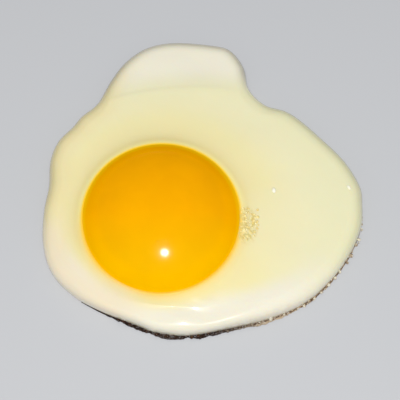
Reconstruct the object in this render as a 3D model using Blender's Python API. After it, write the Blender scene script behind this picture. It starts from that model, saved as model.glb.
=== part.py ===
"""A fried egg, sunny side up: the set white, with a pocket in it, and the yolk that sits in the pocket.

Blender 4.5, metres, +Z up. The egg lies on z = 0, and its back lobe points along +Y. Both pieces are
shaped about the yolk's axis, and the finished egg is then moved so that the middle of its footprint is
at the origin.
"""

import math
import random

import bmesh
import bpy
import numpy as np
from mathutils import Matrix, Vector, noise

# Yolk: an oval dome over a shallower bowl
YOLK_HALF_WIDTH = 0.0212
YOLK_HALF_DEPTH = 0.0217
YOLK_WIDEST_LEVEL = 0.0078
YOLK_DOME_HEIGHT = 0.0083
YOLK_BOWL_DEPTH = 0.0064
YOLK_DOME_POWER = 1.6
YOLK_SEGMENTS = 64
YOLK_RINGS = 20

# Outline of the white where it is widest, from the yolk's axis, counter-clockwise from the right end
OUTLINE = (
    (0.0552, 0.0065),
    (0.0547, 0.0115),
    (0.0510, 0.0188),
    (0.0447, 0.0261),
    (0.0387, 0.0322),
    (0.0346, 0.0350),
    (0.0290, 0.0370),
    (0.0246, 0.0421),
    (0.0232, 0.0493),
    (0.0195, 0.0550),
    (0.0140, 0.0569),
    (0.0030, 0.0579),
    (-0.0050, 0.0561),
    (-0.0110, 0.0515),
    (-0.0152, 0.0452),
    (-0.0189, 0.0374),
    (-0.0234, 0.0330),
    (-0.0255, 0.0300),
    (-0.0297, 0.0249),
    (-0.0315, 0.0190),
    (-0.0315, 0.0115),
    (-0.0325, 0.0035),
    (-0.0322, -0.0055),
    (-0.0296, -0.0135),
    (-0.0238, -0.0197),
    (-0.0163, -0.0241),
    (-0.0070, -0.0279),
    (-0.0005, -0.0302),
    (0.0080, -0.0307),
    (0.0185, -0.0285),
    (0.0290, -0.0258),
    (0.0382, -0.0215),
    (0.0456, -0.0152),
    (0.0512, -0.0080),
    (0.0545, -0.0005),
)
OUTLINE_STEPS = 12

# Thick white: it ends at an oval crease. There, at the front and the back, the surface steps softly down
# to the thin white, which falls away a little towards its edge
CREASE_CENTRE = (0.0094, 0.0080)
CREASE_HALF_WIDTH = 0.0520
CREASE_HALF_DEPTH = 0.0333
CREASE_FROM_EDGE = 0.0042
CREASE_FROM_RIM = 0.0019
CREASE_STEP_WIDTH = 0.0032
CREASE_STEP_AT_BACK = 0.00040
CREASE_STEP_AT_FRONT = 0.00045
LEVEL_AT_YOLK = 0.0070
LEVEL_AT_CREASE = 0.0058
THIN_WHITE_FALL = 0.06

# The white climbs a little against the yolk
MENISCUS_RISE = 0.0012
MENISCUS_REACH = 0.0022

# Edge of the white, and the slow waves of its top
EDGE_ROUND = 0.0050
EDGE_POWER = 3.0
EDGE_LEVEL = 0.0009
EDGE_UNDERCUT = 0.0005
LIP_WIDTH = 0.0002
WAVE_HEIGHT = 0.0003
WAVE_LENGTH = 0.0130

# Crisp frill along the front and front right edge, between two directions from the yolk's axis
FRILL_FROM = math.radians(-135)
FRILL_TO = math.radians(10)
FRILL_FADE_IN = math.radians(40)
FRILL_FADE_OUT = math.radians(60)
FRILL_WIDTH = 0.0008
FRILL_WIDTH_SWING = 0.0005
FRILL_LEVEL = 0.0005
FRILL_WAVE_LENGTH = 0.0028

# Sections of the white: gaps between rings, outward from the rim of the pocket and inward from the foot
POCKET_GAP = 0.0004
POCKET_RINGS = 7
RIM_STATIONS = (0.0, 0.0004, 0.0011)
CROWN_RINGS = 13
EDGE_STATIONS = (0.0032, 0.0021, 0.0013, 0.0007, 0.0003, 0.0001, 0.0)
UNDERSIDE_SHARES = (0.90, 0.60, 0.30)
WHITE_SEGMENTS = 144

# Bubbles that stand out of the white; the froth's height is in bubble radii above the pan
FROTH_FROM = math.radians(-115)
FROTH_TO = math.radians(6)
FROTH_SPACING = 0.0027
FROTH_RADIUS = (0.00032, 0.00062)
FROTH_CENTRE_HEIGHT = 1.1
RIM_BUBBLE_CENTRE = (0.0242, -0.0017)
RIM_BUBBLE_SPREAD = (0.0020, 0.0044)
RIM_BUBBLE_RADIUS = (0.00022, 0.00042)
RIM_BUBBLES = 24
BLISTERS = ((0.0306, 0.0087, 0.0009), (0.0512, 0.0097, 0.0008))
BLISTER_SUNK_SHARE = 0.5
BUBBLE_SUNK_SHARE = 0.15

WHITE_COLOUR = (0.83, 0.77, 0.50, 1.0)
YOLK_COLOUR = (0.95, 0.42, 0.01, 1.0)


def clear_scene():
    for obj in list(bpy.data.objects):
        bpy.data.objects.remove(obj)


def smoothstep(share):
    share = np.clip(share, 0.0, 1.0)
    return share * share * (3.0 - 2.0 * share)


def closed_curve(points, steps):
    """Points on a closed Catmull-Rom curve through the given ones."""
    knots = np.array(points)
    before, after, beyond = (np.roll(knots, shift, axis=0) for shift in (1, -1, -2))
    share = (np.arange(steps) / steps)[:, None, None]
    curve = 0.5 * (
        2.0 * knots
        + (after - before) * share
        + (2.0 * before - 5.0 * knots + 4.0 * after - beyond) * share**2
        + (3.0 * knots - before - 3.0 * after + beyond) * share**3
    )
    return curve.transpose(1, 0, 2).reshape(-1, 2)


def outline_radius(directions, curve):
    """How far the outline lies from the yolk's axis in each direction."""
    bearing = np.arctan2(curve[:, 1], curve[:, 0])
    order = np.argsort(bearing)
    reach = np.hypot(curve[:, 0], curve[:, 1])
    return np.interp(directions, bearing[order], reach[order], period=2.0 * math.pi)


def distance_to_curve(points, curve):
    """Shortest distance from each point to the closed curve."""
    along = np.roll(curve, -1, axis=0) - curve
    to_point = points[:, None, :] - curve[None, :, :]
    share = np.clip((to_point * along).sum(2) / (along**2).sum(1), 0.0, 1.0)
    return np.sqrt(((to_point - share[..., None] * along) ** 2).sum(2).min(1))


def yolk_radius(directions):
    """How far the yolk reaches from its axis where it is widest."""
    return 1.0 / np.hypot(
        np.cos(directions) / YOLK_HALF_WIDTH, np.sin(directions) / YOLK_HALF_DEPTH
    )


def rim_radius(directions):
    """How far the rim of the pocket lies from the yolk's axis."""
    return yolk_radius(directions) + POCKET_GAP


def crease_radius(directions, outline):
    """How far the crease lies from the yolk's axis: on its own oval, clear of the edge and the pocket."""
    ray_x, ray_y = np.cos(directions), np.sin(directions)
    from_x, from_y = -CREASE_CENTRE[0], -CREASE_CENTRE[1]
    square = (ray_x / CREASE_HALF_WIDTH) ** 2 + (ray_y / CREASE_HALF_DEPTH) ** 2
    cross = from_x * ray_x / CREASE_HALF_WIDTH**2 + from_y * ray_y / CREASE_HALF_DEPTH**2
    rest = (from_x / CREASE_HALF_WIDTH) ** 2 + (from_y / CREASE_HALF_DEPTH) ** 2 - 1.0
    oval = (-cross + np.sqrt(cross**2 - square * rest)) / square
    inside_edge = np.minimum(oval, outline - CREASE_FROM_EDGE)
    return np.maximum(inside_edge, rim_radius(directions) + CREASE_FROM_RIM)


def noise_at(points, wave_length, seed):
    """Smooth noise between about -1 and 1, one value for each point."""
    rows = np.asarray(points) / wave_length
    return np.array([noise.noise(Vector((x, y, seed))) for x, y in rows])


def frill_share(directions):
    """1 along the crisp stretch of the edge, fading to 0 at its two ends."""
    return smoothstep((directions - FRILL_FROM) / FRILL_FADE_IN) * smoothstep(
        (FRILL_TO - directions) / FRILL_FADE_OUT
    )


def frill_width(directions, radius):
    """How far the crisp frill stands out from the rounded edge, which keeps a small lip elsewhere."""
    edge = np.column_stack((radius * np.cos(directions), radius * np.sin(directions)))
    swing = FRILL_WIDTH_SWING * noise_at(edge, FRILL_WAVE_LENGTH, seed=3.7)
    return LIP_WIDTH + frill_share(directions) * (FRILL_WIDTH + swing)


def top_level(points, curve):
    """Height of the white's upper surface above the pan, outside the pocket."""
    directions = np.arctan2(points[:, 1], points[:, 0])
    reach = np.hypot(points[:, 0], points[:, 1])
    outline = outline_radius(directions, curve)
    rim = rim_radius(directions)
    crease = crease_radius(directions, outline)
    slope = 1.0 - np.clip((reach - rim) / (crease - rim), 0.0, 1.0)
    crown = LEVEL_AT_CREASE + (LEVEL_AT_YOLK - LEVEL_AT_CREASE) * slope**2
    crown += MENISCUS_RISE / (1.0 + ((reach - rim) / MENISCUS_REACH) ** 2)
    step = np.where(directions > 0.0, CREASE_STEP_AT_BACK, CREASE_STEP_AT_FRONT)
    crown -= step * np.sin(directions) ** 2 * smoothstep((reach - crease) / CREASE_STEP_WIDTH + 0.5)
    crown -= THIN_WHITE_FALL * np.maximum(reach - crease, 0.0)
    crown += WAVE_HEIGHT * noise_at(points, WAVE_LENGTH, seed=1.3) * (1.0 - slope**4)
    inside = np.clip(distance_to_curve(points, curve) / EDGE_ROUND, 0.0, 1.0)
    roundness = (1.0 - (1.0 - inside) ** EDGE_POWER) ** (1.0 / EDGE_POWER)
    level = EDGE_LEVEL + (crown - EDGE_LEVEL) * roundness
    frill = EDGE_LEVEL + (FRILL_LEVEL - EDGE_LEVEL) * smoothstep((reach - outline) / FRILL_WIDTH)
    return np.where(reach <= outline, level, frill)


def white_sections(directions, curve):
    """Reach and height of every ring of the white, one row for each direction, from the pocket's middle,
    over the crown and round the edge, to the middle of the underside."""
    outline = outline_radius(directions, curve)[:, None]
    foot = outline + frill_width(directions, outline[:, 0])[:, None]
    rim = rim_radius(directions)[:, None]

    turn = np.linspace(0.0, 0.5 * math.pi, POCKET_RINGS, endpoint=False)[None, :]
    pocket = rim * np.sin(turn)
    pocket_level = YOLK_WIDEST_LEVEL - (YOLK_BOWL_DEPTH + POCKET_GAP) * np.cos(turn)
    near_rim = rim + np.array(RIM_STATIONS)[None, :]
    edge = outline - np.array(EDGE_STATIONS)[None, :]
    shares = (np.arange(1, CROWN_RINGS + 1) / (CROWN_RINGS + 1))[None, :]
    crown = near_rim[:, -1:] + (edge[:, :1] - near_rim[:, -1:]) * shares
    upper = np.hstack((near_rim, crown, edge, foot))
    under = (foot - EDGE_UNDERCUT) * np.array((1.0, *UNDERSIDE_SHARES, 0.0))[None, :]

    points = np.stack(
        (upper * np.cos(directions)[:, None], upper * np.sin(directions)[:, None]), axis=2
    )
    upper_level = top_level(points.reshape(-1, 2), curve).reshape(upper.shape)
    reach = np.hstack((pocket, upper, under))
    pocket_level = np.broadcast_to(pocket_level, pocket.shape)
    return reach, np.hstack((pocket_level, upper_level, np.zeros(under.shape)))


def new_object(name, mesh_builder, collection):
    mesh = bpy.data.meshes.new(name)
    mesh_builder.to_mesh(mesh)
    mesh_builder.free()
    obj = bpy.data.objects.new(name, mesh)
    collection.objects.link(obj)
    return obj


def place_rings(mesh_builder, rings, segments, section):
    """Moves each vertex of a UV sphere to its ring's reach and height. The section's function takes the
    directions of the segments and returns both, one row for each direction."""
    directions = np.arange(segments) * 2.0 * math.pi / segments
    directions = np.where(directions > math.pi, directions - 2.0 * math.pi, directions)
    reach, level = section(directions)
    for vert in mesh_builder.verts:
        ring = round(rings * math.acos(max(-1.0, min(1.0, vert.co.z))) / math.pi)
        turn = math.atan2(vert.co.y, vert.co.x) % (2.0 * math.pi)
        row = round(turn * segments / (2.0 * math.pi)) % segments
        direction = directions[row]
        vert.co = (
            reach[row, ring] * math.cos(direction),
            reach[row, ring] * math.sin(direction),
            level[row, ring] if 0 < ring < rings else level[0, ring],
        )


def make_white(collection, curve):
    reach, _ = white_sections(np.zeros(1), curve)
    rings = reach.shape[1] - 1
    mesh_builder = bmesh.new()
    bmesh.ops.create_uvsphere(
        mesh_builder, u_segments=WHITE_SEGMENTS, v_segments=rings, radius=1.0
    )
    place_rings(
        mesh_builder, rings, WHITE_SEGMENTS, lambda directions: white_sections(directions, curve)
    )
    return new_object("white", mesh_builder, collection)


def yolk_sections(directions):
    """Reach and height of every ring of the yolk, from its top to its bottom."""
    widest = yolk_radius(directions)[:, None]
    turn = np.linspace(0.0, math.pi, YOLK_RINGS + 1)[None, :]
    height = np.abs(np.cos(turn))
    level = np.where(
        turn < 0.5 * math.pi,
        YOLK_WIDEST_LEVEL + YOLK_DOME_HEIGHT * height**YOLK_DOME_POWER,
        YOLK_WIDEST_LEVEL - YOLK_BOWL_DEPTH * height,
    )
    reach = widest * np.sin(turn)
    return reach, np.broadcast_to(level, reach.shape)


def make_yolk(collection):
    mesh_builder = bmesh.new()
    bmesh.ops.create_uvsphere(
        mesh_builder, u_segments=YOLK_SEGMENTS, v_segments=YOLK_RINGS, radius=1.0
    )
    place_rings(mesh_builder, YOLK_RINGS, YOLK_SEGMENTS, yolk_sections)
    return new_object("yolk", mesh_builder, collection)


def add_bubble(collection, name, centre, radius, subdivisions=1):
    mesh_builder = bmesh.new()
    bmesh.ops.create_icosphere(mesh_builder, subdivisions=subdivisions, radius=radius)
    bubble = new_object(name, mesh_builder, collection)
    bubble.data.transform(Matrix.Translation(centre))


def on_top(x, y, curve):
    return Vector((x, y, top_level(np.array([(x, y)]), curve)[0]))


def add_froth(collection, curve, draw):
    """Small bubbles along the crisp stretch, where the rounded edge meets the frill."""
    closed = np.vstack((curve, curve[:1]))
    travelled = np.concatenate(([0.0], np.cumsum(np.hypot(*np.diff(closed, axis=0).T))))
    for count in range(int(travelled[-1] / FROTH_SPACING)):
        place = (count + draw.uniform(-0.35, 0.35)) * FROTH_SPACING
        spot = np.array([np.interp(place, travelled, closed[:, axis]) for axis in (0, 1)])
        radius = draw.uniform(*FROTH_RADIUS)
        outward = draw.uniform(0.0, 0.8) * FRILL_WIDTH
        if FROTH_FROM < math.atan2(spot[1], spot[0]) < FROTH_TO:
            spot *= 1.0 + outward / np.hypot(*spot)
            centre = Vector((spot[0], spot[1], FROTH_CENTRE_HEIGHT * radius))
            add_bubble(collection, f"froth_{count}", centre, radius)


def add_rim_bubbles(collection, curve, draw):
    """A patch of bubbles beside the yolk."""
    clear_of_pocket = YOLK_HALF_WIDTH + 2.0 * POCKET_GAP
    for count in range(RIM_BUBBLES):
        x = RIM_BUBBLE_CENTRE[0] + RIM_BUBBLE_SPREAD[0] * draw.uniform(-1.0, 1.0)
        y = RIM_BUBBLE_CENTRE[1] + RIM_BUBBLE_SPREAD[1] * draw.uniform(-1.0, 1.0)
        radius = draw.uniform(*RIM_BUBBLE_RADIUS)
        x = max(x, clear_of_pocket + radius)
        centre = on_top(x, y, curve) - Vector((0.0, 0.0, BUBBLE_SUNK_SHARE * radius))
        add_bubble(collection, f"rim_bubble_{count}", centre, radius)


def add_blisters(collection, curve):
    for count, (x, y, radius) in enumerate(BLISTERS):
        centre = on_top(x, y, curve) - Vector((0.0, 0.0, BLISTER_SUNK_SHARE * radius))
        add_bubble(collection, f"blister_{count}", centre, radius, subdivisions=2)


def fuse(obj, collection):
    """Joins everything in the collection to the object, and removes the collection."""
    union = obj.modifiers.new("bubbles", "BOOLEAN")
    union.operation = "UNION"
    union.operand_type = "COLLECTION"
    union.collection = collection
    graph = bpy.context.evaluated_depsgraph_get()
    joined = bpy.data.meshes.new_from_object(obj.evaluated_get(graph))
    obj.modifiers.clear()
    obj.data = joined
    for helper in list(collection.objects):
        bpy.data.objects.remove(helper)
    bpy.data.collections.remove(collection)


def centre_footprint(objects):
    """Places the objects so that the middle of the egg's footprint is at the origin."""
    corners = np.array([vert.co for obj in objects for vert in obj.data.vertices])
    middle = 0.5 * (corners.min(0) + corners.max(0))
    for obj in objects:
        obj.location = (-middle[0], -middle[1], 0.0)


def give_material(obj, colour, roughness):
    material = bpy.data.materials.new(obj.name)
    material.use_nodes = True
    shader = material.node_tree.nodes["Principled BSDF"]
    shader.inputs["Base Color"].default_value = colour
    shader.inputs["Roughness"].default_value = roughness
    shader.inputs["Metallic"].default_value = 0.0
    material.diffuse_color = colour
    obj.data.materials.clear()
    obj.data.materials.append(material)
    obj.data.shade_smooth()


def build():
    clear_scene()
    egg = bpy.data.collections.new("fried_egg")
    bubbles = bpy.data.collections.new("bubbles")
    bpy.context.scene.collection.children.link(egg)
    bpy.context.scene.collection.children.link(bubbles)
    draw = random.Random(12)
    curve = closed_curve(OUTLINE, OUTLINE_STEPS)

    white = make_white(egg, curve)
    yolk = make_yolk(egg)
    add_froth(bubbles, curve, draw)
    add_rim_bubbles(bubbles, curve, draw)
    add_blisters(bubbles, curve)
    fuse(white, bubbles)
    centre_footprint((white, yolk))
    give_material(white, WHITE_COLOUR, roughness=0.25)
    give_material(yolk, YOLK_COLOUR, roughness=0.12)


build()
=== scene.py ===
"""A fried egg, sunny side up, dressed over its solids: white, yolk and a crisp, bubbly edge.

Metres, +Z up. Each piece is shaped about the yolk's axis and stands there.
"""

import math
import random

import bmesh
import bpy
import numpy as np
from mathutils import Matrix, Vector, noise


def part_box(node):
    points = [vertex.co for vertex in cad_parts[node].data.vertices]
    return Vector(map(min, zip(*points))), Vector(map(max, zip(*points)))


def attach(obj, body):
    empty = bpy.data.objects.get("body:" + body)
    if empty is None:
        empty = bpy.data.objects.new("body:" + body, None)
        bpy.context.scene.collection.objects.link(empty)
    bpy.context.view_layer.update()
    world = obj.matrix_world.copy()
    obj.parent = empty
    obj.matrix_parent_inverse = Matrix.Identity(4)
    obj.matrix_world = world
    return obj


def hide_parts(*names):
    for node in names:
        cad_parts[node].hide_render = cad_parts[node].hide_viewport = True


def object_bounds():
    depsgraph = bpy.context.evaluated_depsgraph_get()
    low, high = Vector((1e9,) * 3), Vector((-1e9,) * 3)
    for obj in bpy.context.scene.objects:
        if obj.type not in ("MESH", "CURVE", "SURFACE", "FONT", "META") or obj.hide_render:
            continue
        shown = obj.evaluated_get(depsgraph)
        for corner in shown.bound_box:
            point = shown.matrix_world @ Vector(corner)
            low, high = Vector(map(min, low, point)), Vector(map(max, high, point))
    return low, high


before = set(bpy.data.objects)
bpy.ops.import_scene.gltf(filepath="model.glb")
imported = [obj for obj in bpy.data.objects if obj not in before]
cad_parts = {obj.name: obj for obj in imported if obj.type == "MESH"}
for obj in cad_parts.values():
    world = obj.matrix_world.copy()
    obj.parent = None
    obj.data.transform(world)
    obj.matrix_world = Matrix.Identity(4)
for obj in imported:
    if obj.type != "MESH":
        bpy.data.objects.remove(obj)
cad_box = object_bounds()

# The yolk's place and size come from its solid
yolk_low, yolk_high = (Vector(corner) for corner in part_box("yolk"))
AXIS = Vector(((yolk_low.x + yolk_high.x) / 2, (yolk_low.y + yolk_high.y) / 2, 0.0))
YOLK_HALF_WIDTH = (yolk_high.x - yolk_low.x) / 2
YOLK_HALF_DEPTH = (yolk_high.y - yolk_low.y) / 2
YOLK_TOP = yolk_high.z
YOLK_BOTTOM = yolk_low.z
FARTHEST_X = cad_box[1][0] - AXIS.x
NEAREST_Y = cad_box[0][1] - AXIS.y
YOLK_WIDEST_LEVEL = 0.0078
YOLK_DOME_POWER = 1.6
# At the back, the visible dome keeps its slope from this share of the radius outwards
YOLK_STRAIGHT_FROM = 0.915

# The white, from the yolk's axis: as in its solid, and up to 0.5 mm fuller at the front right
OUTLINE = (
    (0.0552, 0.0065),
    (0.0547, 0.0115),
    (0.0510, 0.0188),
    (0.0447, 0.0261),
    (0.0387, 0.0322),
    (0.0346, 0.0350),
    (0.0290, 0.0370),
    (0.0246, 0.0421),
    (0.0232, 0.0493),
    (0.0195, 0.0550),
    (0.0140, 0.0569),
    (0.0030, 0.0579),
    (-0.0050, 0.0561),
    (-0.0110, 0.0515),
    (-0.0152, 0.0452),
    (-0.0189, 0.0374),
    (-0.0234, 0.0330),
    (-0.0255, 0.0300),
    (-0.0297, 0.0249),
    (-0.0315, 0.0190),
    (-0.0315, 0.0115),
    (-0.0325, 0.0035),
    (-0.0322, -0.0055),
    (-0.0296, -0.0135),
    (-0.0238, -0.0197),
    (-0.0163, -0.0241),
    (-0.0070, -0.0279),
    (-0.0005, -0.0303),
    (0.0080, -0.0309),
    (0.0186, -0.0289),
    (0.0292, -0.0262),
    (0.0385, -0.0219),
    (0.0458, -0.0154),
    (0.0512, -0.0080),
    (0.0545, -0.0005),
)
OUTLINE_STEPS = 24
POINTS_AT_A_TIME = 3000
CREASE_CENTRE = (0.0094, 0.0082)
CREASE_HALF_WIDTH = 0.0520
CREASE_HALF_DEPTH = 0.0331
CREASE_FROM_EDGE = 0.0042
CREASE_FROM_RIM = 0.0019
CREASE_STEP_WIDTH = 0.0014
CREASE_STEP_SHARE = 0.3
CREASE_STEP_SHIFT = 0.5
CREASE_SLOPE_WIDTH = 0.0090
CREASE_SLOPE_SHIFT = 0.2
CREASE_STEP_AT_BACK = 0.00040
CREASE_STEP_AT_FRONT = 0.00045
LEVEL_AT_YOLK = 0.0070
LEVEL_AT_CREASE = 0.0058
THIN_WHITE_FALL = 0.06
MENISCUS_RISE = 0.0012
MENISCUS_REACH = 0.0022
EDGE_ROUND = 0.0050
EDGE_POWER = 3.0
CROWN_POWER = 2.0
EDGE_LEVEL = 0.0009
EDGE_UNDERCUT = 0.0005
WAVE_HEIGHT = 0.0003
WAVE_LENGTH = 0.0130
WAVE_FADE_POWER = 4
POCKET_GAP = 0.0004

# What the visible white has beyond its solid: a lip that meets the yolk, fine ripples,
# and in front a tighter edge with two low mounds (x, y, half width, half depth, height)
LIP_OVER_YOLK = 0.0006
FRONT_FROM = 0.55
FRONT_SPAN = 0.35
FRONT_EDGE_ROUND = 0.0026
FRONT_EDGE_POWER = 4.0
FRONT_CROWN_POWER = 1.25
MOUNDS = (
    (0.0098, -0.0237, 0.0040, 0.0020, 0.00056),
    (0.0062, -0.0279, 0.0040, 0.0018, 0.00043),
)
RIPPLE_HEIGHT = 0.00003
RIPPLE_LENGTH = 0.0042

# Fineness of the visible surfaces
WHITE_SEGMENTS = 640
POCKET_RINGS = 8
CROWN_RINGS = 76
CROWN_RING_POWER = 1.3
EDGE_RINGS = 30
FOOT_RINGS = 6
UNDERSIDE_RINGS = 8
YOLK_SEGMENTS = 240
YOLK_RINGS = 120

# Where the yolk's golden rim starts, as a share of its radius: in front and at the back
GOLDEN_RIM_FROM = (0.962, 0.92)
# And where the shine starts to fade towards the rim, with the width of the fade
SHINE_FADE_FROM = 0.72
SHINE_FADE_WIDTH = 0.16

# Fades round the egg, as an offset and a rate: the first three over the sine of the direction,
# which rises to the back, the others over its cosine, which rises to the right
STRAIGHT_FADE = (0.6, 0.9)
GOLDEN_RIM_FADE = (0.5, 0.5)
BEHIND_FADE = (0.4, 2.5)
LEFT_FADE = (-0.1, -2.2)
RIGHT_FADE = (0.5, 1.0)

# Crisp film under the front edge, and its bubbles
FRILL_FROM = math.radians(-135)
FRILL_TO = math.radians(10)
FRILL_FADE_IN = math.radians(40)
FRILL_FADE_OUT = math.radians(60)
FRILL_WIDTH = 0.0008
FRILL_WIDTH_SWING = 0.0005
FRILL_WAVE_LENGTH = 0.0028
FILM_COLUMNS = 1100
FILM_TUCK = 0.0012
FILM_THICKNESS = 0.0005
FILM_PUFF = 0.00018
FILM_PUFF_LENGTH = 0.0008
FILM_PUFF_ABOVE = 0.2
FILM_LEAST_WIDTH = 0.00012
FILM_LEAST_LEVEL = 0.00003
FILM_END_SHARE = 0.35
FILM_CLEARANCE = 0.00002
# Its ragged rim: (height, length, seed)
FILM_RAGS = ((0.00026, 0.0011, 8.1), (0.00016, 0.0004, 2.2))
# Its section: shares of the way from the tucked side to the outer rim, over the top and back
# underneath, and the share of the thickness at each
FILM_ACROSS = (0.0, 0.25, 0.45, 0.6, 0.72, 0.82, 0.91, 0.97, 1.0, 0.97, 0.7, 0.35, 0.0)
FILM_TOP = (1.0, 0.95, 0.85, 0.72, 0.6, 0.5, 0.42, 0.36, 0.22, 0.08, 0.05, 0.05, 0.05)
FROTH_FROM = math.radians(-115)
FROTH_TO = math.radians(6)
FROTH_SPACING = 0.0027
FROTH_RADIUS = (0.00032, 0.00062)
FROTH_CENTRE_HEIGHT = 1.1
FROTH_SHIFT_SHARE = 0.35
FROTH_OUTWARD_SHARE = 0.8
BUBBLE_STRETCH = 1.12
MIST_BUBBLES = 110
MIST_RADIUS = (0.00010, 0.00024)
MIST_OUTWARD = (-0.0002, 0.0008)
MIST_ON_FILM_FROM = 0.0002
MIST_FILM_LEVEL = 0.0005
MIST_RISE_SHARE = 0.6

# Bubbles on the white
RIM_BUBBLE_CENTRE = (0.0242, -0.0017)
RIM_BUBBLE_SPREAD = (0.0020, 0.0044)
RIM_BUBBLE_RADIUS = (0.00022, 0.00042)
RIM_BUBBLES = 24
FINE_CENTRE = (0.0228, -0.0021)
FINE_SPREAD = (0.0030, 0.0050)
FINE_RADIUS = (0.00016, 0.00034)
FINE_SUNK_SHARE = 0.45
FINE_BUBBLES = 55
# The two larger ones: (x, y, radius, turn in degrees)
BLISTERS = ((0.0306, 0.0087, 0.0009, 5.0), (0.0512, 0.0097, 0.0008, 28.0))
BLISTER_WIDTH_SHARE = 0.62
BLISTER_HEIGHT_SHARE = 0.6
BLISTER_SUNK_SHARE = 0.25
BUBBLE_SUNK_SHARE = 0.15

# Seeds of the random draws: the first also places the bubbles beside the yolk
FROTH_SEED = 12
FINE_SEED = 8
MIST_SEED = 31
STRETCH_SEED = 5

# Where the white is paler: the thin back lobe, and a band along the left and front edge that is
# partly thin white and partly a painted sheen
LOBE_FADE = 0.0090
LOBE_SHIFT = 0.17
# How far from the edge the band starts, and how far from it it is full
THIN_AND_SHEEN_BAND = (0.0110, 0.0045)
THIN_AND_SHEEN_BAND_LESS_ON_RIGHT = 0.0008
THIN_FROM_YOLK = (0.0012, 0.0055)
THIN_FROM = math.radians(-175)
THIN_TO = math.radians(-5)
THIN_FADE = math.radians(30)

# Painted shade darkens the rounded edge: from this sine of the direction on, less off the lobe,
# and not at all in the notch beside the lobe
DIMMING_FROM = -0.30
DIMMING_WIDTH = 0.55
DIMMING_OFF_LOBE = 0.55
NOTCH = (0.0262, 0.0400)
NOTCH_REACH = 0.0090

# An oval on the right where the white is paler, and how strongly its left side is tinted
PALER_CENTRE = (0.0300, -0.0030)
PALER_SPREAD = (0.0090, 0.0150)
LEFT_TINT_SHARE = 0.85

# Camera, lights and floor: the camera looks down 24 degrees off the vertical, the flash is
# beside it, and the floor is just under the egg
CAMERA_AIM = Vector((0.01044, 0.00676, 0.0040))
CAMERA_TILT = math.radians(24)
CAMERA_DISTANCE = 0.320
CAMERA_LENS = 105.0
KEY_TILT = math.radians(20)
FLASH_TILT = math.radians(22.2)
FLASH_ASIDE = 0.016
FLOOR_DROP = 0.0002


def smoothstep(share):
    share = np.clip(share, 0.0, 1.0)
    return share * share * (3.0 - 2.0 * share)


def fade(rise, offset, rate):
    return smoothstep(offset + rate * rise)


def closed_curve(points, steps):
    """Points on a closed Catmull-Rom curve through the given ones."""
    knots = np.array(points)
    before, after, beyond = (np.roll(knots, shift, axis=0) for shift in (1, -1, -2))
    share = (np.arange(steps) / steps)[:, None, None]
    curve = 0.5 * (
        2.0 * knots
        + (after - before) * share
        + (2.0 * before - 5.0 * knots + 4.0 * after - beyond) * share**2
        + (3.0 * knots - before - 3.0 * after + beyond) * share**3
    )
    return curve.transpose(1, 0, 2).reshape(-1, 2)


CURVE = closed_curve(OUTLINE, OUTLINE_STEPS)


def outline_radius(directions):
    bearing = np.arctan2(CURVE[:, 1], CURVE[:, 0])
    order = np.argsort(bearing)
    reach = np.hypot(CURVE[:, 0], CURVE[:, 1])
    return np.interp(directions, bearing[order], reach[order], period=2.0 * math.pi)


def distance_to_outline(points):
    along = np.roll(CURVE, -1, axis=0) - CURVE
    squares = (along**2).sum(1)
    found = []
    for block in np.array_split(points, max(1, len(points) // POINTS_AT_A_TIME)):
        to_point = block[:, None, :] - CURVE[None, :, :]
        share = np.clip((to_point * along).sum(2) / squares, 0.0, 1.0)
        found.append(np.sqrt(((to_point - share[..., None] * along) ** 2).sum(2).min(1)))
    return np.concatenate(found)


def yolk_radius(directions):
    return 1.0 / np.hypot(
        np.cos(directions) / YOLK_HALF_WIDTH, np.sin(directions) / YOLK_HALF_DEPTH
    )


def rim_radius(directions):
    return yolk_radius(directions) + POCKET_GAP


def crease_oval(directions):
    """How far the crease's oval lies from the yolk's axis."""
    ray_x, ray_y = np.cos(directions), np.sin(directions)
    from_x, from_y = -CREASE_CENTRE[0], -CREASE_CENTRE[1]
    square = (ray_x / CREASE_HALF_WIDTH) ** 2 + (ray_y / CREASE_HALF_DEPTH) ** 2
    cross = from_x * ray_x / CREASE_HALF_WIDTH**2 + from_y * ray_y / CREASE_HALF_DEPTH**2
    rest = (from_x / CREASE_HALF_WIDTH) ** 2 + (from_y / CREASE_HALF_DEPTH) ** 2 - 1.0
    return (-cross + np.sqrt(cross**2 - square * rest)) / square


def crease_radius(directions, outline):
    inside_edge = np.minimum(crease_oval(directions), outline - CREASE_FROM_EDGE)
    return np.maximum(inside_edge, rim_radius(directions) + CREASE_FROM_RIM)


def noise_at(points, wave_length, seed):
    rows = np.asarray(points) / wave_length
    return np.array([noise.noise(Vector((x, y, seed))) for x, y in rows])


def frill_share(directions):
    return smoothstep((directions - FRILL_FROM) / FRILL_FADE_IN) * smoothstep(
        (FRILL_TO - directions) / FRILL_FADE_OUT
    )


def flat_points(reach, directions):
    """Points seen from above, with a row of reaches for each direction."""
    return np.stack(
        (reach * np.cos(directions)[:, None], reach * np.sin(directions)[:, None]), axis=2
    )


def front_share(directions):
    """1 towards the front, 0 on the sides and at the back."""
    return smoothstep((-np.sin(directions) - FRONT_FROM) / FRONT_SPAN)


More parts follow.
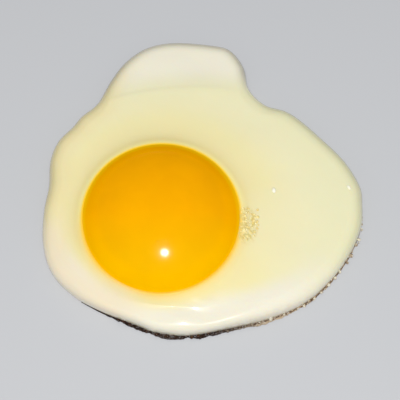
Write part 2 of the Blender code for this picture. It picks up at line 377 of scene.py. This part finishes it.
def top_level(points):
    """Height of the white's upper surface above the pan, outside the pocket."""
    directions = np.arctan2(points[:, 1], points[:, 0])
    reach = np.hypot(points[:, 0], points[:, 1])
    outline = outline_radius(directions)
    rim = rim_radius(directions)
    crease = crease_radius(directions, outline)
    front = front_share(directions)
    slope = 1.0 - np.clip((reach - rim) / (crease - rim), 0.0, 1.0)
    step = np.where(directions > 0.0, CREASE_STEP_AT_BACK, CREASE_STEP_AT_FRONT)
    step = step * np.sin(directions) ** 2
    lowest = LEVEL_AT_CREASE - step * front
    crown_power = CROWN_POWER + (FRONT_CROWN_POWER - CROWN_POWER) * front
    crown = lowest + (LEVEL_AT_YOLK - lowest) * slope**crown_power
    crown += MENISCUS_RISE / (1.0 + ((reach - rim) / MENISCUS_REACH) ** 2)
    beyond = reach - crease
    fall = CREASE_STEP_SHARE * smoothstep(beyond / CREASE_STEP_WIDTH + CREASE_STEP_SHIFT)
    fall += (1.0 - CREASE_STEP_SHARE) * smoothstep(
        beyond / CREASE_SLOPE_WIDTH + CREASE_SLOPE_SHIFT
    )
    crown -= step * (1.0 - front) * fall
    crown -= THIN_WHITE_FALL * np.maximum(beyond, 0.0)
    waves = WAVE_HEIGHT * noise_at(points, WAVE_LENGTH, seed=1.3)
    waves += RIPPLE_HEIGHT * noise_at(points, RIPPLE_LENGTH, seed=5.9)
    crown += waves * (1.0 - slope**WAVE_FADE_POWER)
    for x, y, half_width, half_depth, height in MOUNDS:
        across = (points[:, 0] - x) / half_width
        along = (points[:, 1] - y) / half_depth
        crown += height * np.exp(-(across**2 + along**2))
    edge_round = EDGE_ROUND + (FRONT_EDGE_ROUND - EDGE_ROUND) * front
    power = EDGE_POWER + (FRONT_EDGE_POWER - EDGE_POWER) * front
    inside = np.clip(distance_to_outline(points) / edge_round, 0.0, 1.0)
    roundness = (1.0 - (1.0 - inside) ** power) ** (1.0 / power)
    return EDGE_LEVEL + (crown - EDGE_LEVEL) * roundness


def white_sections(directions):
    """Reach and height of the white's rings, from the pocket's middle to the underside's."""
    outline = outline_radius(directions)[:, None]
    lip = yolk_radius(directions)[:, None] - LIP_OVER_YOLK

    turn = np.linspace(0.0, 0.5 * math.pi, POCKET_RINGS, endpoint=False)[None, :]
    pocket = lip * np.sin(turn)
    pocket_level = np.broadcast_to(
        YOLK_WIDEST_LEVEL - (YOLK_WIDEST_LEVEL - YOLK_BOTTOM + POCKET_GAP) * np.cos(turn),
        pocket.shape,
    )
    shares = (np.arange(CROWN_RINGS) / CROWN_RINGS)[None, :] ** CROWN_RING_POWER
    crown = lip + (outline - EDGE_ROUND - lip) * shares
    turn = np.linspace(0.0, 0.5 * math.pi, EDGE_RINGS)[None, :]
    edge = outline - EDGE_ROUND * (1.0 - np.sin(turn))
    upper = np.hstack((crown, edge))
    turn = np.linspace(0.0, 0.5 * math.pi, FOOT_RINGS)[None, 1:]
    foot = outline - EDGE_UNDERCUT * (1.0 - np.cos(turn))
    foot_level = np.broadcast_to(EDGE_LEVEL * (1.0 - np.sin(turn)), foot.shape)
    shares = np.linspace(1.0, 0.0, UNDERSIDE_RINGS + 1)[None, 1:]
    under = (outline - EDGE_UNDERCUT) * shares

    points = flat_points(upper, directions).reshape(-1, 2)
    upper_level = top_level(points).reshape(upper.shape)
    reach = np.hstack((pocket, upper, foot, under))
    level = np.hstack((pocket_level, upper_level, foot_level, np.zeros(under.shape)))
    return reach, level


def yolk_sections(directions):
    """Reach and height of the yolk's rings, from its top to its bottom."""
    turn = np.linspace(0.0, math.pi, YOLK_RINGS + 1)[None, :]
    height = np.abs(np.cos(turn))
    share = np.sin(turn)
    dome = height**YOLK_DOME_POWER
    # At the back, a tangent takes the dome's place from YOLK_STRAIGHT_FROM on
    rest = 1.0 - YOLK_STRAIGHT_FROM**2
    fall = YOLK_DOME_POWER * YOLK_STRAIGHT_FROM * rest ** (0.5 * YOLK_DOME_POWER - 1.0)
    straight = rest ** (0.5 * YOLK_DOME_POWER) - fall * (share - YOLK_STRAIGHT_FROM)
    straight = np.where(share > YOLK_STRAIGHT_FROM, straight, dome)
    behind = fade(np.sin(directions), *STRAIGHT_FADE)[:, None]
    dome = dome + (straight - dome) * behind
    level = np.where(
        np.arange(YOLK_RINGS + 1) < YOLK_RINGS // 2,
        YOLK_WIDEST_LEVEL + (YOLK_TOP - YOLK_WIDEST_LEVEL) * dome,
        YOLK_WIDEST_LEVEL - (YOLK_WIDEST_LEVEL - YOLK_BOTTOM) * height,
    )
    reach = yolk_radius(directions)[:, None] * share
    return reach, level


def piece(name, mesh):
    obj = bpy.data.objects.new(name, mesh)
    bpy.context.scene.collection.objects.link(obj)
    obj.location = AXIS
    mesh.shade_smooth()
    return obj


def ringed_mesh(name, rings, segments, section):
    """A UV sphere whose rings are moved to the section's reach and height in each direction."""
    builder = bmesh.new()
    bmesh.ops.create_uvsphere(builder, u_segments=segments, v_segments=rings, radius=1.0)
    mesh = bpy.data.meshes.new(name)
    builder.to_mesh(mesh)
    builder.free()
    directions = np.arange(segments) * 2.0 * math.pi / segments
    directions = np.where(directions > math.pi, directions - 2.0 * math.pi, directions)
    reach, level = section(directions)
    # Each pole is one vertex, so it has one height
    level[:, 0] = level[0, 0]
    level[:, -1] = level[0, -1]
    places = np.empty(len(mesh.vertices) * 3, np.float32)
    mesh.vertices.foreach_get("co", places)
    places = places.reshape(-1, 3).astype(float)
    ring = np.round(rings * np.arccos(np.clip(places[:, 2], -1.0, 1.0)) / math.pi).astype(int)
    turn = np.arctan2(places[:, 1], places[:, 0]) % (2.0 * math.pi)
    row = np.round(turn * segments / (2.0 * math.pi)).astype(int) % segments
    direction = directions[row]
    places = np.column_stack(
        (
            reach[row, ring] * np.cos(direction),
            reach[row, ring] * np.sin(direction),
            level[row, ring],
        )
    )
    mesh.vertices.foreach_set("co", places.astype(np.float32).ravel())
    mesh.update()
    return mesh, places


def add_values(mesh, name, values):
    layer = mesh.attributes.new(name, "FLOAT", "POINT")
    layer.data.foreach_set("value", np.asarray(values, np.float32))


def lobe_share(directions, reach):
    """0 inside the crease, 1 well outside it."""
    return smoothstep((reach - crease_oval(directions)) / LOBE_FADE + LOBE_SHIFT)


def thin_white_and_sheen_share(directions, reach, from_edge):
    """1 where the white is paler: the thin back lobe, and a left and front band, partly painted
    sheen.
    """
    lobe = lobe_share(directions, reach) * (directions > 0.0)
    start, end = THIN_AND_SHEEN_BAND
    start = start - THIN_AND_SHEEN_BAND_LESS_ON_RIGHT * fade(np.cos(directions), *RIGHT_FADE)
    band = smoothstep((from_edge - start) / (end - start))
    band *= smoothstep((THIN_TO - directions) / THIN_FADE)
    band *= smoothstep((directions - THIN_FROM) / THIN_FADE)
    start, end = THIN_FROM_YOLK
    band *= smoothstep((reach - yolk_radius(directions) - start) / (end - start))
    return np.maximum(lobe, band)


def left_shares(directions):
    """1 on the egg's left side, 0 on its right: for the part in front and the part behind."""
    left = fade(np.cos(directions), *LEFT_FADE)
    behind = fade(np.sin(directions), *BEHIND_FADE)
    return left * (1.0 - behind), left * behind


def painted_shade_share(directions, reach):
    """How much painted shade darkens the rounded edge: none in front, most on the back lobe."""
    behind = np.clip((np.sin(directions) - DIMMING_FROM) / DIMMING_WIDTH, 0.0, 1.0)
    on_lobe = DIMMING_OFF_LOBE + (1.0 - DIMMING_OFF_LOBE) * lobe_share(directions, reach)
    notch_x, notch_y = NOTCH
    from_notch = np.hypot(
        reach * np.cos(directions) - notch_x, reach * np.sin(directions) - notch_y
    )
    return behind * on_lobe * smoothstep(from_notch / NOTCH_REACH)


def make_white():
    # One direction tells how many rings there are
    reach, _ = white_sections(np.zeros(1))
    mesh, places = ringed_mesh("white", reach.shape[1] - 1, WHITE_SEGMENTS, white_sections)
    flat = places[:, :2]
    directions = np.arctan2(flat[:, 1], flat[:, 0])
    reach = np.hypot(flat[:, 0], flat[:, 1])
    from_edge = distance_to_outline(flat)
    add_values(mesh, "from_edge_mm", 1000.0 * from_edge)
    add_values(mesh, "from_yolk_mm", 1000.0 * (reach - yolk_radius(directions)))
    add_values(mesh, "thin", thin_white_and_sheen_share(directions, reach, from_edge))
    left_front, left_back = left_shares(directions)
    add_values(mesh, "left_front", left_front)
    add_values(mesh, "left_back", left_back)
    add_values(mesh, "dimming", painted_shade_share(directions, reach))
    add_values(mesh, "crisp", frill_share(directions))
    return piece("white_skin", mesh)


def make_yolk():
    mesh, places = ringed_mesh("yolk", YOLK_RINGS, YOLK_SEGMENTS, yolk_sections)
    directions = np.arctan2(places[:, 1], places[:, 0])
    share = np.hypot(places[:, 0], places[:, 1]) / yolk_radius(directions)
    in_front, at_back = GOLDEN_RIM_FROM
    start = in_front + (at_back - in_front) * fade(np.sin(directions), *GOLDEN_RIM_FADE)
    add_values(mesh, "rim", np.clip((share - start) / (1.0 - start), 0.0, 1.0))
    add_values(mesh, "near_rim", smoothstep((share - SHINE_FADE_FROM) / SHINE_FADE_WIDTH))
    return piece("yolk_skin", mesh)


def make_crisp_film():
    """The thin, ragged film of fried white that stands out from under the edge."""
    directions = np.linspace(FRILL_FROM, FRILL_TO, FILM_COLUMNS)
    outline = outline_radius(directions)
    edge = np.column_stack((outline * np.cos(directions), outline * np.sin(directions)))
    share = frill_share(directions)
    width = FRILL_WIDTH + FRILL_WIDTH_SWING * noise_at(edge, FRILL_WAVE_LENGTH, seed=3.7)
    for height, length, seed in FILM_RAGS:
        width += height * noise_at(edge, length, seed)
    width = FILM_TUCK + np.maximum(width, FILM_LEAST_WIDTH) * share
    across, top = np.array(FILM_ACROSS), np.array(FILM_TOP)
    reach = (outline - FILM_TUCK)[:, None] + width[:, None] * across
    points = flat_points(reach, directions)
    points[..., 1] = np.maximum(points[..., 1], NEAREST_Y + FILM_CLEARANCE)
    puffs = noise_at(points.reshape(-1, 2), FILM_PUFF_LENGTH, seed=6.6).reshape(reach.shape)
    level = FILM_THICKNESS * top + FILM_PUFF * puffs * (top > FILM_PUFF_ABOVE)
    level *= FILM_END_SHARE + (1.0 - FILM_END_SHARE) * share[:, None]
    level = np.maximum(level, FILM_LEAST_LEVEL)
    around = len(across)
    builder = bmesh.new()
    verts = [builder.verts.new(place) for place in np.dstack((points, level)).reshape(-1, 3)]
    for column in range(FILM_COLUMNS - 1):
        for turn in range(around):
            corner = column * around + turn
            beside = column * around + (turn + 1) % around
            builder.faces.new(
                (verts[corner], verts[corner + around], verts[beside + around], verts[beside])
            )
    builder.faces.new(verts[:around])
    builder.faces.new(verts[-around:])
    bmesh.ops.recalc_face_normals(builder, faces=builder.faces)
    mesh = bpy.data.meshes.new("crisp_film")
    builder.to_mesh(mesh)
    builder.free()
    outward = np.maximum(width[:, None] * across - FILM_TUCK, 0.0)
    add_values(mesh, "outward_mm", 1000.0 * outward.ravel())
    return piece("crisp_film", mesh)


def bubble_mesh(name, bubbles, subdivisions):
    """One mesh of many bubbles, each (centre, radius), a little uneven."""
    builder = bmesh.new()
    bmesh.ops.create_icosphere(builder, subdivisions=subdivisions, radius=1.0)
    builder.verts.ensure_lookup_table()
    unit = np.array([vert.co for vert in builder.verts])
    faces = np.array([[vert.index for vert in face.verts] for face in builder.faces])
    builder.free()
    draw = random.Random(STRETCH_SEED)
    places, corners = [], []
    for count, (centre, radius) in enumerate(bubbles):
        stretch = [draw.uniform(2.0 - BUBBLE_STRETCH, BUBBLE_STRETCH) for _ in range(2)] + [1.0]
        places.append(unit * stretch * radius + np.array(centre))
        corners.append(faces + count * len(unit))
    mesh = bpy.data.meshes.new(name)
    mesh.from_pydata(np.concatenate(places).tolist(), [], np.concatenate(corners).tolist())
    mesh.update()
    return piece(name, mesh)


def on_top(x, y):
    return float(top_level(np.array([(x, y)]))[0])


def make_blisters():
    """The two larger bubbles, narrower than long and each turned its own way."""
    builder = bmesh.new()
    for x, y, radius, turn in BLISTERS:
        place = Matrix.Translation((x, y, on_top(x, y) - BLISTER_SUNK_SHARE * radius))
        place @= Matrix.Rotation(math.radians(turn), 4, "Z")
        place @= Matrix.Diagonal((BLISTER_WIDTH_SHARE, 1.0, BLISTER_HEIGHT_SHARE, 1.0))
        bmesh.ops.create_icosphere(builder, subdivisions=4, radius=radius, matrix=place)
    mesh = bpy.data.meshes.new("blisters")
    builder.to_mesh(mesh)
    builder.free()
    return piece("blisters", mesh)


def edge_bubbles(draw):
    """The froth of the solid, in the same places."""
    closed = np.vstack((CURVE, CURVE[:1]))
    travelled = np.concatenate(([0.0], np.cumsum(np.hypot(*np.diff(closed, axis=0).T))))
    found = []
    for count in range(int(travelled[-1] / FROTH_SPACING)):
        shift = draw.uniform(-FROTH_SHIFT_SHARE, FROTH_SHIFT_SHARE)
        place = (count + shift) * FROTH_SPACING
        spot = np.array([np.interp(place, travelled, closed[:, axis]) for axis in (0, 1)])
        radius = draw.uniform(*FROTH_RADIUS)
        outward = draw.uniform(0.0, FROTH_OUTWARD_SHARE) * FRILL_WIDTH
        if FROTH_FROM < math.atan2(spot[1], spot[0]) < FROTH_TO:
            spot *= 1.0 + outward / np.hypot(*spot)
            spot[0] = min(spot[0], FARTHEST_X - BUBBLE_STRETCH * radius)
            spot[1] = max(spot[1], NEAREST_Y + BUBBLE_STRETCH * radius)
            found.append(((spot[0], spot[1], FROTH_CENTRE_HEIGHT * radius), radius))
    return found


def mist_bubbles(draw):
    """Finer bubbles scattered along the same stretch."""
    found = []
    while len(found) < MIST_BUBBLES:
        direction = draw.uniform(FROTH_FROM, FROTH_TO)
        radius = draw.uniform(*MIST_RADIUS)
        outward = draw.uniform(*MIST_OUTWARD)
        reach = float(outline_radius(direction)) + outward
        if outward < MIST_ON_FILM_FROM:
            height = EDGE_LEVEL + radius
        else:
            height = MIST_FILM_LEVEL + MIST_RISE_SHARE * radius
        x = min(reach * math.cos(direction), FARTHEST_X - BUBBLE_STRETCH * radius)
        y = max(reach * math.sin(direction), NEAREST_Y + BUBBLE_STRETCH * radius)
        found.append(((x, y, height), radius))
    return found


def rim_bubbles(draw):
    """The patch of bubbles beside the yolk, in the solid's places."""
    clear_of_pocket = YOLK_HALF_WIDTH + 2.0 * POCKET_GAP
    found = []
    for _ in range(RIM_BUBBLES):
        x = RIM_BUBBLE_CENTRE[0] + RIM_BUBBLE_SPREAD[0] * draw.uniform(-1.0, 1.0)
        y = RIM_BUBBLE_CENTRE[1] + RIM_BUBBLE_SPREAD[1] * draw.uniform(-1.0, 1.0)
        radius = draw.uniform(*RIM_BUBBLE_RADIUS)
        x = max(x, clear_of_pocket + radius)
        found.append(((x, y, on_top(x, y) - BUBBLE_SUNK_SHARE * radius), radius))
    return found


def fine_bubbles(draw):
    """Finer bubbles among those beside the yolk, and up to its edge."""
    found = []
    while len(found) < FINE_BUBBLES:
        across, along = draw.uniform(-1.0, 1.0), draw.uniform(-1.0, 1.0)
        x = FINE_CENTRE[0] + FINE_SPREAD[0] * across
        y = FINE_CENTRE[1] + FINE_SPREAD[1] * along
        radius = draw.uniform(*FINE_RADIUS)
        if math.hypot(x, y) > float(yolk_radius(math.atan2(y, x))) + radius and (
            across**2 + along**2 < 1.0
        ):
            found.append(((x, y, on_top(x, y) - FINE_SUNK_SHARE * radius), radius))
    return found


class Look:
    """A material and short calls that build its nodes. Each call gives an output socket."""

    def __init__(self, name, **values):
        self.material = bpy.data.materials.new(name)
        self.material.use_nodes = True
        self.tree = self.material.node_tree
        self.shader = self.tree.nodes["Principled BSDF"]
        for socket, value in values.items():
            self.shader.inputs[socket.replace("_", " ")].default_value = value

    def set(self, socket, source):
        self.tree.links.new(source, self.shader.inputs[socket])

    def fill(self, node, index, value):
        if isinstance(value, bpy.types.NodeSocket):
            self.tree.links.new(value, node.inputs[index])
        else:
            node.inputs[index].default_value = value

    def position(self):
        return self.tree.nodes.new("ShaderNodeTexCoord").outputs["Object"]

    def axes(self):
        node = self.tree.nodes.new("ShaderNodeSeparateXYZ")
        self.tree.links.new(self.position(), node.inputs[0])
        return node.outputs

    def math(self, operation, first, second=0.0):
        node = self.tree.nodes.new("ShaderNodeMath")
        node.operation = operation
        self.fill(node, 0, first)
        self.fill(node, 1, second)
        return node.outputs[0]

    def product(self, first, *others):
        for other in others:
            first = self.math("MULTIPLY", first, other)
        return first

    def span(self, value, low, high, to_low=0.0, to_high=1.0):
        """The value's smooth way from low to high."""
        node = self.tree.nodes.new("ShaderNodeMapRange")
        node.interpolation_type = "SMOOTHSTEP"
        for index, number in enumerate((value, low, high, to_low, to_high)):
            self.fill(node, index, number)
        return node.outputs[0]

    def mix(self, share, first, second, kind="MIX"):
        node = self.tree.nodes.new("ShaderNodeMix")
        node.data_type = "RGBA"
        node.blend_type = kind
        self.fill(node, 0, share)
        # A Mix node's colours are its inputs 6 and 7, and output 2
        for index, colour in ((6, first), (7, second)):
            if not isinstance(colour, bpy.types.NodeSocket):
                colour = (*colour, 1.0)
            self.fill(node, index, colour)
        return node.outputs[2]

    def noise(self, size, detail=2.0, roughness=0.5):
        """Noise whose features are about this many metres across."""
        node = self.tree.nodes.new("ShaderNodeTexNoise")
        node.inputs["Scale"].default_value = 1.0 / size
        node.inputs["Detail"].default_value = detail
        node.inputs["Roughness"].default_value = roughness
        self.tree.links.new(self.position(), node.inputs["Vector"])
        return node.outputs["Fac"]

    def cells(self, size):
        node = self.tree.nodes.new("ShaderNodeTexVoronoi")
        node.inputs["Scale"].default_value = 1.0 / size
        self.tree.links.new(self.position(), node.inputs["Vector"])
        return node.outputs["Distance"]

    def value(self, name):
        node = self.tree.nodes.new("ShaderNodeAttribute")
        node.attribute_name = name
        return node.outputs["Fac"]

    def ramp(self, value, stops):
        node = self.tree.nodes.new("ShaderNodeValToRGB")
        elements = node.color_ramp.elements
        while len(elements) < len(stops):
            elements.new(0.5)
        for element, (place, colour) in zip(elements, stops):
            element.position = place
            element.color = (*colour, 1.0)
        self.fill(node, 0, value)
        return node.outputs["Color"]

    def bump(self, height, distance, strength=1.0):
        node = self.tree.nodes.new("ShaderNodeBump")
        node.inputs["Strength"].default_value = strength
        node.inputs["Distance"].default_value = distance
        self.fill(node, "Height", height)
        self.set("Normal", node.outputs[0])

    def oval(self, centre, half_width, half_depth):
        """Distance from an upright oval axis, 1 on the oval."""
        x, y, _ = self.axes()
        x = self.math("DIVIDE", self.math("SUBTRACT", x, centre[0]), half_width)
        y = self.math("DIVIDE", self.math("SUBTRACT", y, centre[1]), half_depth)
        return self.math("SQRT", self.math("ADD", self.product(x, x), self.product(y, y)))


def tint(red, green_share, blue_share):
    """A colour by its red and its green and blue against the red."""
    return (red, red * green_share, red * blue_share)


def underside_colour(look):
    return look.ramp(
        look.noise(0.0085, detail=6.0, roughness=0.62),
        (
            (0.30, tint(0.80, 0.88, 0.58)),
            (0.48, tint(0.70, 0.72, 0.33)),
            (0.62, tint(0.50, 0.54, 0.17)),
            (0.80, tint(0.26, 0.40, 0.09)),
        ),
    )


def white_look():
    look = Look(
        "egg_white",
        Roughness=0.24,
        Subsurface_Weight=0.3,
        Subsurface_Scale=0.0018,
        Subsurface_Radius=(1.0, 0.75, 0.45),
        Coat_Roughness=0.06,
    )
    x, y, height = look.axes()
    from_yolk = look.value("from_yolk_mm")
    farthest = 40.0
    # From the yolk outwards. Close to it: the yolk's colour under the lip, a painted glow of
    # light passing through the yolk, and a lighter tone that is painted light against the
    # meniscus's shade. Farther out: the white's own cream.
    colour = look.ramp(
        look.math("DIVIDE", from_yolk, farthest),
        (
            (0.0 / farthest, tint(0.97, 0.60, 0.06)),
            (0.5 / farthest, tint(0.97, 0.68, 0.16)),
            (1.0 / farthest, tint(0.97, 0.76, 0.29)),
            (1.7 / farthest, tint(0.955, 0.825, 0.38)),
            (2.7 / farthest, tint(0.925, 0.87, 0.44)),
            (4.0 / farthest, tint(0.90, 0.89, 0.48)),
            (9.0 / farthest, tint(0.895, 0.92, 0.515)),
            (14.0 / farthest, tint(0.88, 0.94, 0.59)),
            (18.0 / farthest, tint(0.87, 0.955, 0.625)),
            (28.0 / farthest, tint(0.84, 0.975, 0.645)),
        ),
    )
    # Behind the yolk the white is lightened: painted light that offsets the shade of the
    # meniscus slope facing away from the lamps. It starts golden at the yolk.
    golden_reach = 3.0
    golden_and_painted_light_ring = look.ramp(
        look.math("DIVIDE", from_yolk, golden_reach),
        (
            (0.09, tint(1.0, 0.61, 0.02)),
            (0.17, tint(0.96, 0.78, 0.23)),
            (0.32, tint(0.985, 0.855, 0.37)),
            (0.60, tint(0.97, 0.87, 0.42)),
            (0.90, tint(0.93, 0.875, 0.445)),
        ),
    )
    behind = look.product(look.span(y, -0.008, 0.006), look.span(from_yolk, 2.8, 1.2))
    colour = look.mix(behind, colour, golden_and_painted_light_ring)
    paler_right = look.span(look.oval(PALER_CENTRE, *PALER_SPREAD), 1.2, 0.3, 0.0, 0.5)
    colour = look.mix(paler_right, colour, tint(0.88, 0.94, 0.62))
    from_edge = look.value("from_edge_mm")
    # The paler tone of the thin white; on the front band it is partly a painted sheen
    thin = look.mix(
        look.span(y, 0.0, 0.030), tint(0.875, 0.955, 0.785), tint(0.90, 0.955, 0.785)
    )
    colour = look.mix(look.value("thin"), colour, thin)
    near_edge = look.span(from_edge, 9.0, 2.5)
    for side, shade in (
        ("left_front", tint(0.87, 0.875, 0.645)),
        ("left_back", tint(0.86, 0.875, 0.49)),
    ):
        share = look.product(look.value(side), near_edge, LEFT_TINT_SHARE)
        colour = look.mix(share, colour, shade)
    # Painted shade: the colour darkens over the last four millimetres to the rounded edge
    painted_edge_darkening_reach = 4.0
    painted_edge_darkening = look.ramp(
        look.math("DIVIDE", from_edge, painted_edge_darkening_reach),
        (
            (0.0, tint(0.44, 0.97, 0.90)),
            (0.12, tint(0.54, 0.98, 0.93)),
            (0.30, tint(0.71, 0.99, 0.96)),
            (0.55, tint(0.88, 1.0, 0.98)),
            (0.80, tint(0.97, 1.0, 1.0)),
            (1.0, tint(1.0, 1.0, 1.0)),
        ),
    )
    dimmed = look.mix(1.0, colour, painted_edge_darkening, kind="MULTIPLY")
    colour = look.mix(look.value("dimming"), colour, dimmed)
    # Olive spots among the bubbles beside the yolk
    cluster = look.span(look.oval(FINE_CENTRE, *FINE_SPREAD), 1.25, 0.75)
    olive_spots = look.span(look.noise(0.0009), 0.40, 0.62)
    olive_spots = look.span(olive_spots, 0.0, 1.0, 0.15, 0.85)
    colour = look.mix(look.product(cluster, olive_spots), colour, tint(0.74, 0.80, 0.27))
    crisp = look.value("crisp")
    blotches = look.noise(0.0022, detail=4.0, roughness=0.65)
    tan_share = look.product(
        look.span(from_edge, 1.3, 0.1),
        crisp,
        look.span(blotches, 0.30, 0.75, 0.05, 0.4),
        look.span(x, 0.010, 0.032, 0.2, 1.0),
    )
    colour = look.mix(tan_share, colour, tint(0.66, 0.78, 0.50))
    foot_share = look.product(
        look.span(height, 0.0007, 0.0002), crisp, look.span(blotches, 0.25, 0.6, 0.35, 1.0)
    )
    colour = look.mix(foot_share, colour, tint(0.42, 0.56, 0.24))
    colour = look.mix(look.span(height, 0.0004, 0.0001), colour, underside_colour(look))
    look.set("Base Color", colour)
    look.set("Coat Weight", look.span(from_yolk, 0.4, 2.0, 0.0, 0.75))
    look.bump(
        look.math("ADD", look.noise(0.0030), look.product(look.noise(0.0007), 0.3)),
        distance=0.00006,
        strength=0.4,
    )
    return look.material


def yolk_look():
    look = Look(
        "egg_yolk",
        Roughness=0.13,
        Subsurface_Weight=0.12,
        Subsurface_Scale=0.0015,
        Subsurface_Radius=(1.0, 0.35, 0.02),
        Coat_Roughness=0.04,
    )
    _, y, _ = look.axes()
    # Yellower and a little lighter towards the front, more orange at the back: partly the
    # yolk's own tone, partly painted light
    body = look.ramp(
        look.span(y, -0.019, 0.015),
        (
            (0.0, (0.91, 0.475, 0.0)),
            (0.25, (0.94, 0.455, 0.0)),
            (0.55, (0.98, 0.43, 0.0)),
            (1.0, (1.0, 0.425, 0.0)),
        ),
    )
    rim = look.value("rim")
    golden = look.ramp(
        rim,
        ((0.0, (1.0, 0.45, 0.0)), (0.5, (1.0, 0.51, 0.001)), (1.0, (1.0, 0.55, 0.008))),
    )
    clouds = look.span(look.noise(0.0100, detail=3.0), 0.3, 0.7, 0.95, 1.0)
    colour = look.mix(look.span(rim, 0.0, 0.5), body, golden)
    look.set("Base Color", look.mix(1.0, colour, clouds, kind="MULTIPLY"))
    near_rim = look.value("near_rim")
    look.set("Specular IOR Level", look.span(near_rim, 0.0, 1.0, 0.3, 0.0))
    look.set("Coat Weight", look.span(near_rim, 0.0, 1.0, 0.2, 0.0))
    look.bump(look.noise(0.0040, detail=1.0), distance=0.00004, strength=0.2)
    return look.material


def film_look():
    look = Look("crisp_brown", Roughness=0.32, Coat_Weight=0.2, Coat_Roughness=0.15)
    blotches = look.noise(0.0012, detail=4.0, roughness=0.7)
    depth = look.math("ADD", look.product(look.value("outward_mm"), 0.4), blotches)
    dark = look.ramp(
        depth,
        (
            (0.30, tint(0.09, 0.45, 0.22)),
            (0.45, tint(0.030, 0.42, 0.22)),
            (0.62, tint(0.013, 0.45, 0.26)),
            (0.85, tint(0.028, 0.36, 0.18)),
            (1.0, tint(0.012, 0.50, 0.30)),
        ),
    )
    amber = look.ramp(
        depth,
        (
            (0.30, tint(0.70, 0.86, 0.62)),
            (0.45, tint(0.42, 0.70, 0.42)),
            (0.58, tint(0.07, 0.45, 0.22)),
            (0.75, tint(0.52, 0.78, 0.52)),
        ),
    )
    x, _, _ = look.axes()
    look.set("Base Color", look.mix(look.span(x, 0.014, 0.034), dark, amber))
    look.bump(look.cells(0.0005), distance=0.0001, strength=0.6)
    return look.material


def bubble_look(name, pale, dark, size=0.0014):
    look = Look(name, Roughness=0.12, Coat_Weight=0.5, Coat_Roughness=0.04)
    look.set("Base Color", look.ramp(look.noise(size), ((0.38, pale), (0.60, dark))))
    return look.material


def froth_look():
    """Dark brown bubbles in front, paler and clearer ones on the right."""
    look = Look("edge_bubble", Roughness=0.10, Coat_Weight=0.6, Coat_Roughness=0.05)
    blotches = look.noise(0.0011)
    dark = look.ramp(
        blotches, ((0.40, tint(0.07, 0.42, 0.20)), (0.58, tint(0.018, 0.42, 0.22)))
    )
    pale = look.ramp(
        blotches, ((0.42, tint(0.78, 0.94, 0.76)), (0.60, tint(0.34, 0.70, 0.45)))
    )
    x, _, _ = look.axes()
    look.set("Base Color", look.mix(look.span(x, 0.012, 0.036), dark, pale))
    return look.material


def dress(obj, material, slot, *nodes):
    obj.data.materials.append(material)
    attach(obj, "root")
    if nodes:
        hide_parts(*nodes)


def aim(obj, at):
    obj.rotation_euler = (Vector(at) - obj.location).to_track_quat("-Z", "Y").to_euler()


def add_light(name, tilt, aside, distance, size, power, glossy):
    """A round light aimed at the egg, tilted towards the front and then moved to the right."""
    lamp = bpy.data.lights.new(name, "AREA")
    lamp.shape = "DISK"
    lamp.size = size
    lamp.energy = power
    light = bpy.data.objects.new(name, lamp)
    bpy.context.scene.collection.objects.link(light)
    middle = AXIS + CAMERA_AIM
    light.location = middle + distance * Vector((0.0, -math.sin(tilt), math.cos(tilt)))
    light.location.x += aside
    light.visible_glossy = glossy
    aim(light, middle)


def add_floor():
    builder = bmesh.new()
    bmesh.ops.create_grid(builder, x_segments=1, y_segments=1, size=1.5)
    mesh = bpy.data.meshes.new("floor")
    builder.to_mesh(mesh)
    builder.free()
    floor = bpy.data.objects.new("floor", mesh)
    floor.location.z = -FLOOR_DROP
    bpy.context.scene.collection.objects.link(floor)
    look = Look("floor_paint", Roughness=0.85, Specular_IOR_Level=0.2)
    look.shader.inputs["Base Color"].default_value = (0.55, 0.56, 0.58, 1.0)
    mesh.materials.append(look.material)


def add_camera():
    camera = bpy.data.objects.new("camera", bpy.data.cameras.new("camera"))
    bpy.context.scene.collection.objects.link(camera)
    camera.data.lens = CAMERA_LENS
    camera.data.sensor_width = 36.0
    camera.data.clip_start = 0.01
    target = AXIS + CAMERA_AIM
    camera.location = target + CAMERA_DISTANCE * Vector(
        (0.0, -math.sin(CAMERA_TILT), math.cos(CAMERA_TILT))
    )
    aim(camera, target)
    bpy.context.scene.camera = camera


def set_world():
    world = bpy.data.worlds.new("studio")
    world.use_nodes = True
    background = world.node_tree.nodes["Background"]
    background.inputs["Color"].default_value = (1.0, 1.0, 1.0, 1.0)
    background.inputs["Strength"].default_value = 0.25
    world.cycles_visibility.glossy = False
    bpy.context.scene.world = world
    bpy.context.scene.view_settings.view_transform = "Standard"


def build():
    draw = random.Random(FROTH_SEED)
    froth = edge_bubbles(draw)
    beside_yolk = rim_bubbles(draw)
    fine = fine_bubbles(random.Random(FINE_SEED))
    mist = mist_bubbles(random.Random(MIST_SEED))

    dress(make_white(), white_look(), "white", "white")
    dress(make_yolk(), yolk_look(), "yolk", "yolk")
    dress(make_crisp_film(), film_look(), "white")
    edge = froth_look()
    dress(bubble_mesh("froth", froth, 3), edge, "white")
    dress(bubble_mesh("mist", mist, 2), edge, "white")
    # Their pale patches, about a bubble's size, are partly painted highlights; the rest is
    # their own tone
    yellow = bubble_look("rim_bubble", tint(1.0, 0.90, 0.46), tint(0.86, 0.78, 0.28), 0.0009)
    dress(bubble_mesh("rim_bubbles", beside_yolk + fine, 3), yellow, "white")
    # Nearly white: partly the blisters' cream, partly a painted highlight for their glint
    clear = bubble_look("blister", tint(1.0, 0.99, 0.86), tint(0.97, 0.97, 0.74))
    dress(make_blisters(), clear, "white")

    add_floor()
    add_camera()
    add_light("key", KEY_TILT, 0.0, distance=0.9, size=0.35, power=5.75, glossy=False)
    add_light(
        "flash", FLASH_TILT, FLASH_ASIDE, distance=0.6, size=0.07, power=0.65, glossy=True
    )
    set_world()


build()
